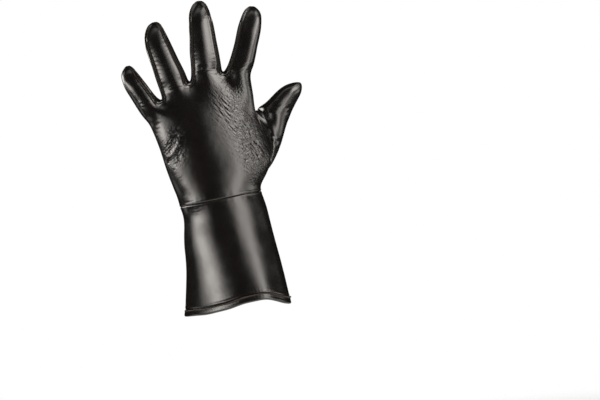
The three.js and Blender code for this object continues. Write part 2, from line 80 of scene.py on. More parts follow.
# The cuff and the palm from the hem up to just under the fingers, their outline as seen from the back.
# slant: how far a section rises from left to right. back and palm: how far out its middle stands. turn: how
# much nearer to the back its side towards the thumb stands than its middle. spread: how far its points have
# moved to where the fingers need them. wave: its share of the hem's wave.
SECTIONS = table(
    "z slant left right back palm turn spread wave",
    (-112.0, 0.0, -55.2, 57.0, 41.0, 42.0, 14.5, 0, 1.0),
    (-105.0, 0.0, -53.2, 56.0, 39.6, 40.6, 12.9, 0, 0.95),
    (-103.0, 0.0, -52.6, 55.7, 39.2, 40.2, 12.4, 0, 0.9),
    (-85.0, 0.0, -49.2, 53.8, 36.2, 37.0, 8.5, 0, 0.5),
    (-62.0, 0.0, -45.5, 51.1, 32.8, 33.4, 4.5, 0, 0.1),
    (-38.0, 1.0, -44.2, 48.0, 29.4, 29.8, 1.5, 0, 0.0),
    (-15.0, 3.5, -41.4, 45.0, 26.4, 26.8, -0.5, 0, 0.0),
    (0.0, 5.3, -42.9, 42.0, 25.4, 26.2, -1.8, 0, 0.0),
    (11.0, 4.0, -44.7, 45.2, 24.6, 26.4, -2.8, 0.15, 0.0),
    (28.0, 2.0, -49.2, 54.6, 23.2, 26.0, -4.0, 0.3, 0.0),
    (47.0, 0.0, -53.0, 55.2, 22.0, 24.0, -5.0, 0.5, 0.0),
    (66.0, 0.0, -56.6, 51.8, 21.2, 20.5, -5.4, 0.7, 0.0),
    (84.0, 0.0, -61.8, 47.6, 20.6, 17.4, -3.4, 0.9, 0.0),
)
HEM_SECTIONS = 2  # the first sections, where the leather is turned under
HEM_STITCHES = 1  # the section that the hem's stitches follow
WRIST = 7  # the section of the wrist seam
BACK_SQUARENESS = 1.95  # 2 is an ellipse, more is nearer to a box
PALM_SQUARENESS = 2.3
KNUCKLE_FALL = 0.44  # how much of the way down to the fingers the back falls halfway past the knuckles
KNUCKLE_VALLEYS = 0.1  # and how much of the dips between the fingers it has there

HEM_WAVE = table(
    "across rise",
    (-1.0, -3.0),
    (-0.54, -2.9),
    (-0.12, 0.3),
    (0.12, 3.3),
    (0.35, 4.7),
    (0.57, 5.0),
    (0.75, 2.0),
    (0.88, -1.2),
    (1.0, -3.7),
)

# Sections of each finger seen from the back, from its root up, and its tip. roll: how much nearer to the
# palm its side towards the thumb stands than its middle.
FINGER_COLUMNS = "x1 z1 x2 z2 y depth roll"
FINGERS = {
    "little": table(
        FINGER_COLUMNS,
        (-71.2, 101.4, -48.7, 111.0, -3.4, 24.6, 0),
        (-75.3, 110.2, -53.5, 117.0, -3.8, 22.4, 0),
        (-79.2, 118.8, -58.9, 126.4, -4.0, 21.2, 0),
        (-82.9, 128.4, -63.7, 134.8, -3.6, 19.8, 0),
        (-84.3, 139.0, -68.1, 142.2, -2.4, 16.4, 0),
    ),
    "ring": table(
        FINGER_COLUMNS,
        (-45.9, 112.2, -16.5, 126.0, -1.6, 27.0, 0),
        (-48.3, 126.4, -18.8, 134.4, -2.0, 26.2, 0.3),
        (-50.7, 140.6, -23.2, 147.6, -1.9, 25.4, 0.6),
        (-53.5, 153.8, -27.1, 160.4, -1.2, 24.2, 0.8),
        (-55.4, 168.0, -31.3, 172.8, 0.0, 22.2, 0.8),
        (-52.6, 181.4, -34.9, 182.8, 1.6, 16.6, 0.5),
    ),
    "middle": table(
        FINGER_COLUMNS,
        (-13.7, 126.8, 19.4, 131.0, 0.2, 27.8, 0.5),
        (-11.6, 139.2, 19.0, 138.8, -0.2, 27.0, 1.0),
        (-10.7, 153.2, 18.4, 152.8, -0.2, 26.2, 1.4),
        (-9.2, 168.0, 17.6, 168.0, 0.4, 24.8, 1.4),
        (-7.5, 183.2, 16.6, 182.6, 1.6, 22.6, 1.2),
        (-4.6, 196.4, 14.2, 195.2, 3.4, 17.6, 0.6),
    ),
    "index": table(
        FINGER_COLUMNS,
        (22.2, 131.2, 47.4, 120.2, 2.2, 26.6, -1),
        (27.4, 138.8, 51.2, 130.0, 1.8, 24.8, -2),
        (32.9, 150.4, 56.0, 142.0, 2.0, 23.8, -2.8),
        (37.8, 162.8, 60.4, 154.6, 3.0, 22.6, -2.8),
        (42.4, 175.6, 64.9, 168.0, 4.6, 21.2, -2.4),
        (48.6, 187.3, 67.0, 181.6, 6.2, 16.8, -1.4),
    ),
}
FINGER_TIPS = {
    "little": (-76.6, -1.4, 149.4),
    "ring": (-42.8, 2.8, 190.4),
    "middle": (6.0, 4.8, 206.0),
    "index": (59.8, 7.2, 192.8),
}
FINGER_NAMES = list(FINGERS)
FOURCHETTES = [f"fourchette_{near}_{far}" for near, far in zip(FINGER_NAMES, FINGER_NAMES[1:])]
CORNER = 0.74  # how far out the corners of a finger's section stand on the palm: the seams lie there
# How far out the seams lie on each finger's back, towards the little finger and towards the thumb.
BACK_CORNERS = table(
    "finger near far",
    ("little", 0.74, 0.72),
    ("ring", 0.84, 0.78),
    ("middle", 0.85, 0.84),
    ("index", 0.76, 0.74),
)
WEB_DROP = 3.4  # how much lower the skin between two fingers is on the back and on the palm

# The thumb's sections: lower outer end, upper inner end, middle, depth, and the turn of its back.
THUMB = table(
    "x1 z1 x2 z2 y depth lean",
    (53.9, 27.0, 47.2, 86.4, 20.9, 27.0, 40),
    (66.6, 46.0, 50.6, 87.8, 23.6, 28.4, 26),
    (76.2, 65.4, 52.8, 90.0, 24.4, 28.2, 12),
    (81.2, 74.3, 58.8, 93.2, 24.4, 26.4, 4),
    (87.4, 84.6, 68.5, 100.4, 24.4, 23.0, 0),
    (95.3, 95.6, 80.4, 107.7, 24.6, 17.6, 0),
)
THUMB_TIP = (97.6, 24.8, 108.6)
THUMB_ROWS = (8, 12)  # sections between which its hole lies in the palm
THUMB_COLUMNS = (14, 17)  # points between which it lies, just behind the thumb side

# The thumb's seam on the palm, from the lower end of its fold on the thumb side round to the upper.
THUMB_SEAM = table(
    "row column x z",
    (8, 14, 45.4, 16.4),
    (8, 15, 42.6, 18.6),
    (8, 16, 37.6, 21.4),
    (8, 17, 31.2, 25.8),
    (9, 17, 27.2, 37.6),
    (10, 17, 24.4, 53.0),
    (11, 17, 22.6, 70.0),
    (12, 17, 25.2, 84.0),
    (12, 16, 31.4, 90.6),
    (12, 15, 38.6, 92.2),
    (12, 14, 44.6, 89.4),
)

# The main folds, as in the solids: straight lines seen from the back.
FOLDS = table(
    "x1 z1 x2 z2 depth reach",
    (-46.0, 56.0, -36.0, 68.0, 0.6, 6.0),
    (-50.0, 43.0, -38.0, 48.0, 0.8, 6.0),
    (-1.0, 134.5, 18.0, 132.0, 0.8, 7.0),
    (64.0, 88.0, 80.0, 82.5, 0.4, 7.0),
    (57.0, 62.0, 66.0, 51.0, 0.4, 6.0),
)

# How each seam pulls the leather in: depth and half width of its groove, height and place of the ridge
# beside it, and height and spacing of the puckers that its stitches gather.
SEAMS = table(
    "seam groove width ridge ridge_at pucker every",
    ("wrist", 0.6, 0.5, 0.28, 1.4, 0.04, 6.5),
    ("thumb", 0.7, 0.6, 0.4, 1.5, 0.12, 3.1),
    *((name, 0.8, 0.55, 1.0, 1.4, 0.05, 4.4) for name in FOURCHETTES),
    ("side", 0.7, 0.6, 0.5, 1.6, 0.12, 4.6),
    ("hem", 0.85, 0.55, 0.18, 2.0, 0.03, 3.4),
    ("edge", 0.9, 0.7, 0.0, 1.0, 0.0, 1.0),
)

# Sharp creases, each along a few points seen from the back: how deep and wide its groove is, and how high
# its sides stand up. A crease whose depth is below nothing is a ridge.
CREASES = table(
    "depth width lip points",
    (0.7, 0.9, 0.1, ((-51, 42.6), (-45.6, 46.4), (-39.5, 49.4))),
    (0.5, 0.9, 0.1, ((-45.6, 54), (-41, 59.6), (-35.5, 64.6))),
    (-0.9, 1.7, 0.0, ((-45.4, 48.8), (-38.4, 57), (-30.6, 67))),
    (0.4, 0.9, 0.25, ((-1, 132.6), (5, 133.2), (12, 133.2), (17, 132))),
    (0.2, 0.9, 0.15, ((12, 128.5), (17, 129.6), (19.5, 132))),
    (0.08, 1.2, 0.1, ((68, 87.0), (74, 85.4), (80, 83.8))),
    (0.12, 1.0, 0.1, ((60, 60.5), (64, 54.6), (67.5, 49))),
    (0.2, 1.1, 0.15, ((-38, 119.5), (-30, 121), (-22, 121.5))),
    (0.2, 1.1, 0.15, ((-69, 107), (-61, 110))),
)


def mix(a, b, share):
    return a + (b - a) * share


def between(rows, key, place):
    """A table's row at a place that falls between two of its rows."""
    found = next((i for i, row in enumerate(rows) if row[key] >= place), 0)
    low, high = rows[max(1, found) - 1], rows[max(1, found)]
    share = (place - low[key]) / (high[key] - low[key])
    return {name: mix(low[name], high[name], share) for name in low}


class Cage:
    """A coarse mesh of four-sided faces. Each point has its wall, each face its piece of leather."""

    def __init__(self):
        self.points = []
        self.quads = []
        self.pieces = []
        self.lines = {"side": [], "hem": []}

    def point(self, place, wall=WALL):
        self.points.append((*place, wall))
        return len(self.points) - 1

    def face(self, piece, *corners):
        self.quads.append(corners)
        self.pieces.append(piece)


def round_finger(name):
    """The eight points round a finger, from the little finger's side over the back: side and front."""
    power = math.log(0.5) / math.log(CORNER)
    corners = next(row for row in BACK_CORNERS if row["finger"] == name)
    near, far = corners["near"], corners["far"]
    near_front, far_front = ((1 - side**power) ** (1 / power) for side in (near, far))
    back = [(-1, 0), (-near, -near_front), (0, -1), (far, -far_front), (1, 0)]
    return [*back, (CORNER, CORNER), (0, 1), (-CORNER, CORNER)]


def across_section(section, side, front, drop=0.0):
    """A point of a finger's section. side and front go from -1 to 1: to the thumb, and to the palm."""
    share = (side + 1) / 2
    x = mix(section["x1"], section["x2"], share)
    z = mix(section["z1"], section["z2"], share)
    return (x, section["y"] + side * section["roll"] + front * section["depth"] / 2, z - drop)


def row_under_fingers(valleys=1.0):
    """The points under the fingers: every finger's back and palm, and the hand's two sides. valleys: how
    much of the dips between the fingers the row has."""

    def on_finger(name, place):
        side, front = round_finger(name)[place]
        front = mix(float(np.sign(front)), front, valleys)
        at_hands_side = (name == "little" and side < 0) or (name == "index" and side > 0)
        at_web = side != 0 and not at_hands_side
        return across_section(FINGERS[name][0], side, front, WEB_DROP if at_web else 0.0)

    back = [on_finger(name, place) for name in FINGER_NAMES for place in (1, 2, 3)]
    palm = [on_finger(name, place) for name in reversed(FINGER_NAMES) for place in (5, 6, 7)]
    return [on_finger("little", 0), *back, on_finger("index", 4), *palm]


def depth_at(section, across, on_back):
    """How far towards the palm a section's skin lies at a place across it."""
    squareness = BACK_SQUARENESS if on_back else PALM_SQUARENESS
    bulge = max(0.0, 1 - abs(across) ** squareness) ** (1 / squareness)
    reach = -section["back"] if on_back else section["palm"]
    return reach * bulge - section["turn"] * across


def section_row(section, under_fingers):
    """The points round one section: evenly round an oval, or spread out under the fingers."""
    left, right = under_fingers[0][0], under_fingers[THUMB_SIDE][0]
    row = []
    for i, (x, _, _) in enumerate(under_fingers):
        even = math.cos(math.pi + 2 * math.pi * i / AROUND)
        across = mix(even, 2 * (x - left) / (right - left) - 1, section["spread"])
        middle = (section["left"] + section["right"]) / 2
        half = (section["right"] - section["left"]) / 2
        rise = between(HEM_WAVE, "across", across)["rise"] * section["wave"]
        height = section["z"] + section["slant"] * across / 2 + rise
        row.append((middle + across * half, depth_at(section, across, i < THUMB_SIDE), height))
    return row


def on_palm(x, z):
    """A point on the palm's side of the hand, seen from the back at x and z."""
    section = between(SECTIONS, "z", min(z, SECTIONS[-1]["z"]))
    across = 2 * (x - section["left"]) / (section["right"] - section["left"]) - 1
    return (x, depth_at(section, across, False), z)


def cuff_and_palm(cage):
    """A tube of rows from the hem to the fingers' roots, with the thumb's hole."""
    under_fingers = row_under_fingers()
    rows = [section_row(section, under_fingers) for section in SECTIONS]
    walls = [HEM_WALL if row < HEM_SECTIONS else WALL for row in range(len(rows))] + [WALL, WALL]
    halfway = []
    for low, high in zip(rows[-1], row_under_fingers(KNUCKLE_VALLEYS)):
        fall = KNUCKLE_FALL if low[1] < 0 else 0.5
        halfway.append((mix(low[0], high[0], 0.5), mix(low[1], high[1], fall), mix(low[2], high[2], 0.5)))
    rows += [halfway, under_fingers]
    for seam in THUMB_SEAM:
        rows[seam["row"]][seam["column"]] = on_palm(seam["x"], seam["z"])

    def in_hole(row, i, margin):
        down = THUMB_ROWS[0] + margin <= row < THUMB_ROWS[1]
        return down and THUMB_COLUMNS[0] + margin <= i < THUMB_COLUMNS[1]

    tube = [
        [None if in_hole(row, i, 1) else cage.point(place, walls[row]) for i, place in enumerate(places)]
        for row, places in enumerate(rows)
    ]
    for row in range(len(tube) - 1):
        low, high = tube[row], tube[row + 1]
        for i in range(AROUND):
            after = (i + 1) % AROUND
            if not in_hole(row, i, 0):
                cage.face("cuff" if row < WRIST else "trank", low[i], low[after], high[after], high[i])
        cage.lines["side"].append((low[SIDE_SEAM], high[SIDE_SEAM]))
    stitched = tube[HEM_STITCHES]
    cage.lines["hem"] += [(stitched[i - 1], stitched[i]) for i in range(AROUND)]
    return tube


def finger_piece(finger, place):
    """Which piece covers a finger between two neighbouring points round it."""
    if place in (3, 4) and finger < len(FOURCHETTES):
        return FOURCHETTES[finger]
    if place in (7, 0) and finger > 0:
        return FOURCHETTES[finger - 1]
    return "trank"


def fingers(cage, top_row):
    """Each finger, from a root ring that shares its back and palm with the tube, and the skin between."""
    roots = []
    for finger, name in enumerate(FINGER_NAMES):
        sections = FINGERS[name]
        back = 1 + 3 * finger
        palm = THUMB_SIDE + 1 + 3 * (len(FINGER_NAMES) - 1 - finger)
        is_last = finger == len(FINGER_NAMES) - 1
        first = top_row[0] if finger == 0 else cage.point(across_section(sections[0], -1, 0))
        fourth = top_row[THUMB_SIDE] if is_last else cage.point(across_section(sections[0], 1, 0))
        roots.append([first, *top_row[back : back + 3], fourth, *top_row[palm : palm + 3]])
        rings = [roots[-1]]
        for section in sections[1:]:
            rings.append([cage.point(across_section(section, *place)) for place in round_finger(name)])
        for ring, above in zip(rings, rings[1:]):
            for place in range(8):
                after = (place + 1) % 8
                cage.face(finger_piece(finger, place), ring[place], ring[after], above[after], above[place])
        end = cage.point(FINGER_TIPS[name])
        for place in (1, 3, 5, 7):
            corners = [rings[-1][(place + step) % 8] for step in range(3)]
            cage.face(finger_piece(finger, place), *corners, end)
        if finger == 0:
            seam = [ring[7] for ring in rings] + [end]
            cage.lines["side"] += list(zip(seam, seam[1:]))
    for finger, (near, far) in enumerate(zip(roots, roots[1:])):
        cage.face(finger_piece(finger, 3), near[3], far[1], far[0], near[4])
        cage.face(finger_piece(finger, 3), near[4], far[0], far[7], near[5])


def thumb(cage, tube):
    """The thumb, which grows out of the hole's edge. Each ring starts low down and goes round the palm."""
    low, high = THUMB_ROWS
    first, last = THUMB_COLUMNS
    ring = [tube[low][i] for i in range(first + 1, last)]
    ring += [tube[row][last] for row in range(low, high)]
    ring += [tube[high][i] for i in range(last, first, -1)]
    ring += [tube[row][first] for row in range(high, low - 1, -1)]
    count = len(ring)
    for section in THUMB:
        lean = math.radians(section["lean"])
        outward = ((section["x1"] - section["x2"]) / 2, 0.0, (section["z1"] - section["z2"]) / 2)
        palmward = (-math.sin(lean) * section["depth"] / 2, math.cos(lean) * section["depth"] / 2, 0.0)
        middle = ((section["x1"] + section["x2"]) / 2, section["y"], (section["z1"] + section["z2"]) / 2)
        above = []
        for i in range(count):
            turn = 2 * math.pi * i / count
            ways = zip(middle, outward, palmward)
            above.append(cage.point([m + o * math.cos(turn) + p * math.sin(turn) for m, o, p in ways]))
        for i in range(count):
            after = (i + 1) % count
            cage.face("thumb", ring[i], ring[after], above[after], above[i])
        ring = above
    end = cage.point(THUMB_TIP)
    for i in range(1, count, 2):
        cage.face("thumb", ring[i], ring[(i + 1) % count], ring[(i + 2) % count], end)


def glove_cage():
    cage = Cage()
    tube = cuff_and_palm(cage)
    fingers(cage, tube[-1])
    thumb(cage, tube)
    return cage


def gathered(index, values, size):
    """The sum of the values that belong to each point."""
    return np.stack([np.bincount(index, column, size) for column in values.T], axis=1)


class Skin:
    """A mesh of four-sided faces, where each point holds x, y, z and the wall's thickness."""

    def __init__(self, values, quads, piece, lines):
        self.values = values
        self.quads = quads
        self.piece = piece
        self.lines = lines
        size = len(values)
        ends = np.stack([quads, np.roll(quads, -1, axis=1)], axis=-1)
        self.keys, edge_of = np.unique(ends.min(-1) * size + ends.max(-1), return_inverse=True)
        self.edges = np.stack([self.keys // size, self.keys % size], axis=1)
        self.edge_of = edge_of.reshape(quads.shape)  # the edge that leaves each corner of each face
        self.is_open = np.bincount(self.edge_of.ravel()) == 1
        self.open_edges = self.edges[self.is_open]
        self.valence = np.bincount(self.edges.ravel(), minlength=size)[:, None]
        self.on_border = np.bincount(self.open_edges.ravel(), minlength=size) > 0

    def far_ends(self, edges, values):
        """For each point, the sum of the other ends of its edges."""
        return gathered(edges.ravel(), values[edges[:, ::-1]].reshape(-1, 4), len(values))

    def limit(self, values):
        """Where each point ends on the smooth skin, by the rule of Catmull and Clark."""
        n = self.valence
        along = self.far_ends(self.edges, values)
        across = values[np.roll(self.quads, 2, axis=1)].reshape(-1, 4)
        opposite = gathered(self.quads.ravel(), across, len(values))
        smooth = (n * n * values + 4 * along + opposite) / (n * (n + 5))
        border = (4 * values + self.far_ends(self.open_edges, values)) / 6
        return np.where(self.on_border[:, None], border, smooth)

    def edge_numbers(self, pairs):
        return np.searchsorted(self.keys, pairs.min(-1) * len(self.values) + pairs.max(-1))

    def finer(self):
        """Splits each face in four, by the rule of Catmull and Clark. Old points keep their numbers."""
        values, quads, n = self.values, self.quads, self.valence
        size, faces = len(values), len(quads)
        middles = values[quads].mean(axis=1)
        at_corners = np.repeat(middles, 4, axis=0)
        beside = gathered(self.edge_of.ravel(), at_corners, len(self.edges))
        both = values[self.edges].sum(axis=1)
        edge_points = np.where(self.is_open[:, None], both / 2, (both + beside) / 4)
        round_point = gathered(quads.ravel(), at_corners, size) / n
        along = self.far_ends(self.edges, values) / n
        smooth = (round_point + along + (n - 2) * values) / n
        border = (6 * values + self.far_ends(self.open_edges, values)) / 8
        moved = np.where(self.on_border[:, None], border, smooth)
        on_edge = size + faces + self.edge_of
        middle = np.broadcast_to(size + np.arange(faces)[:, None], quads.shape)
        split = np.stack([quads, on_edge, middle, np.roll(on_edge, 1, axis=1)], axis=-1)
        lines = {}
        for name, pairs in self.lines.items():
            half = size + faces + self.edge_numbers(pairs)
            lines[name] = np.concatenate([np.stack([pairs[:, 0], half], 1), np.stack([half, pairs[:, 1]], 1)])
        everything = np.concatenate([moved, middles, edge_points])
        return Skin(everything, split.reshape(-1, 4), np.repeat(self.piece, 4), lines)


def fine_skin():
    """The cage, fitted until its smooth skin passes through the sections, and split as fine as it goes."""
    cage = glove_cage()
    values = np.array(cage.points, dtype=float)
    lines = {name: np.array(pairs) for name, pairs in cage.lines.items()}
    skin = Skin(values, np.array(cage.quads), np.array(cage.pieces), lines)
    wanted = values
    for _ in range(FIT_STEPS):
        values = values + wanted - skin.limit(values)
    skin = Skin(values, skin.quads, skin.piece, lines)
    for _ in range(FINE_ROUNDS):
        skin = skin.finer()
    skin.values = skin.limit(skin.values)
    return skin


def facing_of(points, quads):
    """The direction that the skin faces at each point, outward."""
    a, b, c, d = (points[quads[:, k]] for k in range(4))
    normals = np.repeat(np.cross(c - a, d - b), 4, axis=0)
    summed = gathered(quads.ravel(), normals, len(points))
    return summed / np.maximum(np.linalg.norm(summed, axis=1, keepdims=True), TINY)


def chained(edges):
    """Puts edges in a row, end to end, and returns the points in the order that the row passes them."""
    beside = {}
    for a, b in edges.tolist():
        beside.setdefault(a, []).append(b)
        beside.setdefault(b, []).append(a)
    start = next((a for a, near in beside.items() if len(near) == 1), int(edges[0, 0]))
    row = [start]
    before = None
    while True:
        onward = [b for b in beside[row[-1]] if b != before]
        if not onward or onward[0] == start:
            return np.array(row)
        before = row[-1]
        row.append(onward[0])


def seam_rows(skin):
    """Every seam and the hem's edge as a row of points, by its name."""

    def border_of(name):
        numbers, count = np.unique(skin.edge_of[skin.piece == name], return_counts=True)
        return numbers[count == 1]

    cuff, trank = border_of("cuff"), border_of("trank")
    rows = {
        "wrist": np.intersect1d(cuff, trank),
        "thumb": np.intersect1d(border_of("thumb"), trank),
        "edge": np.flatnonzero(skin.is_open),
    }
    rows |= {name: border_of(name) for name in FOURCHETTES}
    chains = {name: chained(skin.edges[numbers]) for name, numbers in rows.items()}
    for name, pairs in skin.lines.items():
        chains[name] = chained(pairs)
    return chains


def arc_lengths(points):
    """How far along a row each of its points is."""
    steps = np.linalg.norm(np.diff(points, axis=0), axis=1)
    return np.concatenate([[0.0], np.cumsum(steps)])


def nearest_on(row_points, points):
    """How far each point is from a row of points, and which of the row is nearest."""
    tree = kdtree.KDTree(len(row_points))
    for number, place in enumerate(row_points):
        tree.insert(place, number)
    tree.balance()
    found = [tree.find(place)[1:] for place in points]
    return np.array([distance for _, distance in found]), np.array([number for number, _ in found])


def rough(points, size, seed=0.0):
    """Smooth noise between about -1 and 1, with bumps of a given size in millimetres."""
    scaled = points / size + seed
    return np.array([noise.noise(place) for place in scaled.tolist()])


SEAM_REACH = 9.0  # how far from a seam the leather feels it
SEAM_FADE = 3.0  # the last of that, where the pull dies out
RIDGE_WIDTH = 0.5  # half the width of a seam's ridge, in its distances from the seam
PUCKER_AT = 2.0  # how far from a seam its puckers are highest
PUCKER_DRIFT = 11.0  # along which length of a seam they grow, shrink and shift
PUCKER_SHIFT = 2.5  # by how much they shift, in radians
PUCKER_LEAST = 0.6  # their least share of the height that the seam's row gives
PUCKER_MORE = 0.8  # and how much of it they gain at most
TIP_REACH = 9.0  # how far from a fingertip its seams flatten out
TIP_LEAST = 0.1  # what is left of them at the tip
RUBBED = 0.8  # how much of its black a ridge 1 mm high loses


def seam_relief(points, chains):
    """How far the seams lift or lower each point, and how much the ridges beside them are rubbed there."""
    lift = np.zeros(len(points))
    rubbed = np.zeros(len(points))
    from_tip = np.min([np.linalg.norm(points - tip, axis=1) for tip in FINGER_TIPS.values()], axis=0)
    for seam in SEAMS:
        row = points[chains[seam["seam"]]]
        low, high = row.min(axis=0) - SEAM_REACH, row.max(axis=0) + SEAM_REACH
        close = np.flatnonzero(np.all((points > low) & (points < high), axis=1))
        away, number = nearest_on(row, points[close])
        along = arc_lengths(row)[number]
        groove = -seam["groove"] * np.exp(-((away / seam["width"]) ** 2))
        ridge_share = np.exp(-(((away - seam["ridge_at"]) / (RIDGE_WIDTH * seam["ridge_at"])) ** 2))
        uneven = rough(np.stack([along, along * 0, along * 0], axis=1), PUCKER_DRIFT, seed=7.5)
        wave = np.sin(2 * math.pi * along / seam["every"] + PUCKER_SHIFT * uneven)
        pucker_share = away / PUCKER_AT * np.exp(1 - away / PUCKER_AT)
        pucker = seam["pucker"] * wave * (PUCKER_LEAST + PUCKER_MORE * np.abs(uneven)) * pucker_share
        fade = np.clip((SEAM_REACH - away) / SEAM_FADE, 0, 1)
        fade = fade * np.clip(from_tip[close] / TIP_REACH, TIP_LEAST, 1)
        lift[close] += (groove + seam["ridge"] * ridge_share + pucker) * fade
        rubbed[close] = np.maximum(rubbed[close], ridge_share * seam["ridge"])
    return lift, rubbed * RUBBED


def nearest_on_line(points, ends):
    """Seen from the back: how far each point is from a line, and what share along it is nearest."""
    place = points[:, [0, 2]]
    start = np.array(ends[0], dtype=float)
    way = np.array(ends[1], dtype=float) - start
    share = np.clip((place - start) @ way / (way @ way), 0, 1)
    offset = place - start - share[:, None] * way
    return np.linalg.norm(offset, axis=1), share


def fold_depth(points, facing):
    """The soft main folds of the solids."""
    total = np.zeros(len(points))
    for fold in FOLDS:
        away, _ = nearest_on_line(points, ((fold["x1"], fold["z1"]), (fold["x2"], fold["z2"])))
        total += fold["depth"] * np.clip(1 - (away / fold["reach"]) ** 2, 0, None) ** 2
    return total * np.clip(-facing[:, 1], 0, None)


LIP_AT = 2.1  # how far from a crease its lips are, in widths of the crease
LIP_WIDTH = 1.1


def crease_relief(points, facing):
    """The sharp creases: a groove with a lip on both sides, fading at its ends."""
    lift = np.zeros(len(points))
    for crease in CREASES:
        places = crease["points"]
        spans = list(zip(places, places[1:]))
        measured = [nearest_on_line(points, span) for span in spans]
        away = np.array([distance for distance, _ in measured])
        nearest = away.argmin(axis=0)
        share = np.array([(number + part) / len(spans) for number, (_, part) in enumerate(measured)])
        pick = np.arange(len(points))
        away, share = away[nearest, pick], share[nearest, pick]
        strength = np.clip(4 * share * (1 - share), 0, 1) ** 0.5
        groove = np.exp(-((away / crease["width"]) ** 2))
        lip = np.exp(-(((away - LIP_AT * crease["width"]) / (LIP_WIDTH * crease["width"])) ** 2))
        lift += strength * (crease["lip"] * lip - crease["depth"] * groove)
    return lift * np.clip(-facing[:, 1], 0, None)


# Where the leather is wrinkled or its finish changes, seen from the back: the middle and reach of each
# patch, its turn and its strength. pleats: small folds across a finger or an edge, with their spacing.
PLEATS = table(
    "side x z reach_x reach_z turn strength every",
    ("back", 45.5, 128.0, 7.0, 24.0, -22, 0.14, 3.0),
    ("back", -46.5, 134.0, 5.0, 24.0, 14, 0.05, 4.0),
    ("back", -66.0, 105.0, 5.0, 16.0, 28, 0.1, 4.4),
    ("back", -55.5, 77.0, 3.0, 16.0, 24, 0.11, 4.6),
    ("back", -37.0, 24.0, 8.0, 18.0, -8, 0.015, 3.4),
    ("back", -29.0, -6.0, 8.0, 9.0, 0, 0.03, 3.0),
    ("back", 9.0, 134.0, 11.0, 7.0, 0, 0.08, 3.4),
    ("back", 79.0, 84.0, 6.0, 16.0, -38, 0.12, 4.4),
    ("back", 62.0, 50.0, 7.0, 13.0, -34, 0.18, 4.4),
    ("palm", 0.0, 100.0, 60.0, 12.0, 0, 0.08, 6.0),
)
PATCHES = table(
    "kind side x z reach_x reach_z turn strength",
    ("falling", "back", 24.0, 84.0, 12.0, 26.0, -24, 0.8),
    ("falling", "back", 36.0, 56.0, 13.0, 28.0, -16, 1.3),
    ("falling", "palm", 30.0, 60.0, 20.0, 40.0, 20, 0.6),
    ("rising", "back", -39.0, 66.0, 9.0, 17.0, 30, 0.6),
    ("rising", "back", -32.0, 54.0, 8.0, 12.0, 20, 0.5),
    ("rising", "palm", -20.0, -50.0, 24.0, 50.0, 20, 0.5),
    ("pebbled", "back", 40.0, 40.0, 13.0, 28.0, -10, 0.8),
    ("pebbled", "back", 26.0, 96.0, 16.0, 24.0, 0, 0.4),
    ("pebbled", "back", -38.0, 58.0, 12.0, 22.0, 24, 0.5),
    ("pebbled", "palm", 0.0, 40.0, 60.0, 60.0, 0, 0.6),
)
PATCH_KINDS = ("falling", "rising", "pebbled")
ROUND_EDGES = 0.35  # how far a patch goes on round the hand's edges


def in_patch(patch, points, facing):
    """Places across and along a patch, and how strongly it holds at each point."""
    turn = math.radians(patch["turn"])
    x, z = points[:, 0] - patch["x"], points[:, 2] - patch["z"]
    out = x * math.cos(turn) - z * math.sin(turn)
    up = x * math.sin(turn) + z * math.cos(turn)
    toward = -facing[:, 1] if patch["side"] == "back" else facing[:, 1]
    away = (out / patch["reach_x"]) ** 2 + (up / patch["reach_z"]) ** 2
    return out, up, patch["strength"] * np.exp(-away) * np.clip(ROUND_EDGES + toward, 0, 1)


def patch_shares(points, facing):
    """How strong each kind of patch is at each point."""
    shares = np.zeros((len(points), len(PATCH_KINDS)))
    for patch in PATCHES:
        kind = PATCH_KINDS.index(patch["kind"])
        shares[:, kind] = np.maximum(shares[:, kind], in_patch(patch, points, facing)[2])
    return shares


PLEAT_DRIFT = (7.0, 9.0)  # over which lengths across and along a patch its pleats shift
PLEAT_SHIFT = 3.38  # by how much they shift, in radians
PLEAT_BREAKS = np.array([1.2, 1.0, 3.0])  # how much more often than that they break off
PLEAT_WHOLE = 0.55  # how whole they are on average, where 1 is whole and 0 is broken off
PLEAT_UNEVEN = 0.9  # and how far they go above and below that
PLEAT_LEAST = 0.01  # the share of a patch's strength below which it has no pleats


def pleat_relief(points, facing):
    """Small folds that lie across the fingers and the hand's edges, uneven and broken."""
    lift = np.zeros(len(points))
    for number, patch in enumerate(PLEATS):
        out, up, share = in_patch(patch, points, facing)
        near = np.flatnonzero(share > PLEAT_LEAST * patch["strength"])
        places = np.stack([out[near] / PLEAT_DRIFT[0], up[near] * 0, up[near] / PLEAT_DRIFT[1]], axis=1)
        drift = rough(places, 1.0, seed=4.7 * number)
        wave = np.sin(2 * math.pi * up[near] / patch["every"] + PLEAT_SHIFT * drift)
        whole = PLEAT_WHOLE + PLEAT_UNEVEN * rough(places * PLEAT_BREAKS, 1.0, seed=9.1 + 3.3 * number)
        lift[near] += share[near] * wave * np.clip(whole, 0, 1)
    return lift


# Slow waves: their height and size, and how much shorter the glove is taken to be, which draws them out.
SOFT_WAVES = table(
    "part height size shorter seed",
    ("hand", 0.26, 22.0, 1.0, 3.1),
    ("hand", 0.07, 8.0, 1.0, 5.7),
    ("cuff", 0.42, 20.0, 0.35, 11.3),
    ("cuff", 0.06, 9.0, 1.0, 2.2),
)
BELOW_WRIST = 20.0  # how far below the wrist the cuff's waves are at their full height


def soft_waves(points):
    """Slow unevenness of soft leather over a hand, and longer waves down the cuff."""
    lift = {"hand": 0.0, "cuff": 0.0}
    for wave in SOFT_WAVES:
        places = points * np.array([1.0, 1.0, wave["shorter"]])
        lift[wave["part"]] = lift[wave["part"]] + wave["height"] * rough(places, wave["size"], wave["seed"])
    return mix(lift["hand"], lift["cuff"], np.clip(-points[:, 2] / BELOW_WRIST, 0, 1))


